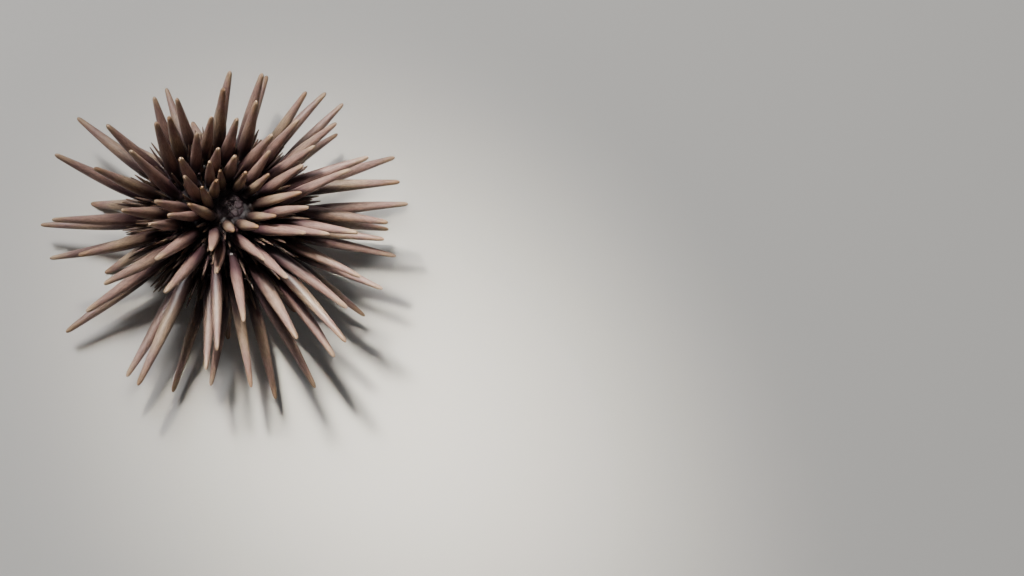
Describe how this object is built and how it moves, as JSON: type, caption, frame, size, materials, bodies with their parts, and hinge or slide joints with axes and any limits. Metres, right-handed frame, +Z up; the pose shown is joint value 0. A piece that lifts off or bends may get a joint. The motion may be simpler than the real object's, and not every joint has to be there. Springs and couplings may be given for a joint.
{
  "type": "purple sea urchin",
  "caption": "Still, life-size purple-brown sea urchin with stout blunt spines round a low oval shell, resting mouth down on its lower spines.",
  "frame": {"origin": "on the floor, under the middle of the whole animal's box", "axes": "+Z up, from the mouth to the apical disc; +X along the longer side of the animal, to the right in the picture; +Y away from the camera"},
  "size_m": [0.093, 0.0878, 0.0451],
  "materials": {
    "wide_zone_spines": "satin",
    "narrow_zone_spines": "satin",
    "apical_plates": "satin",
    "mouth_skin": "matte",
    "tooth_enamel": "gloss"
  },
  "bodies": {
    "root": {"ambulacrum_1": "narrow_zone_spines", "ambulacrum_2": "narrow_zone_spines", "ambulacrum_3": "narrow_zone_spines", "ambulacrum_4": "narrow_zone_spines", "ambulacrum_5": "narrow_zone_spines", "interambulacrum_1": "wide_zone_spines", "interambulacrum_2": "wide_zone_spines", "interambulacrum_3": "wide_zone_spines", "interambulacrum_4": "wide_zone_spines", "interambulacrum_5": "wide_zone_spines", "apical_disc": "apical_plates", "mouth_skin": "mouth_skin", "teeth": "tooth_enamel"}
  },
  "joints": []
}
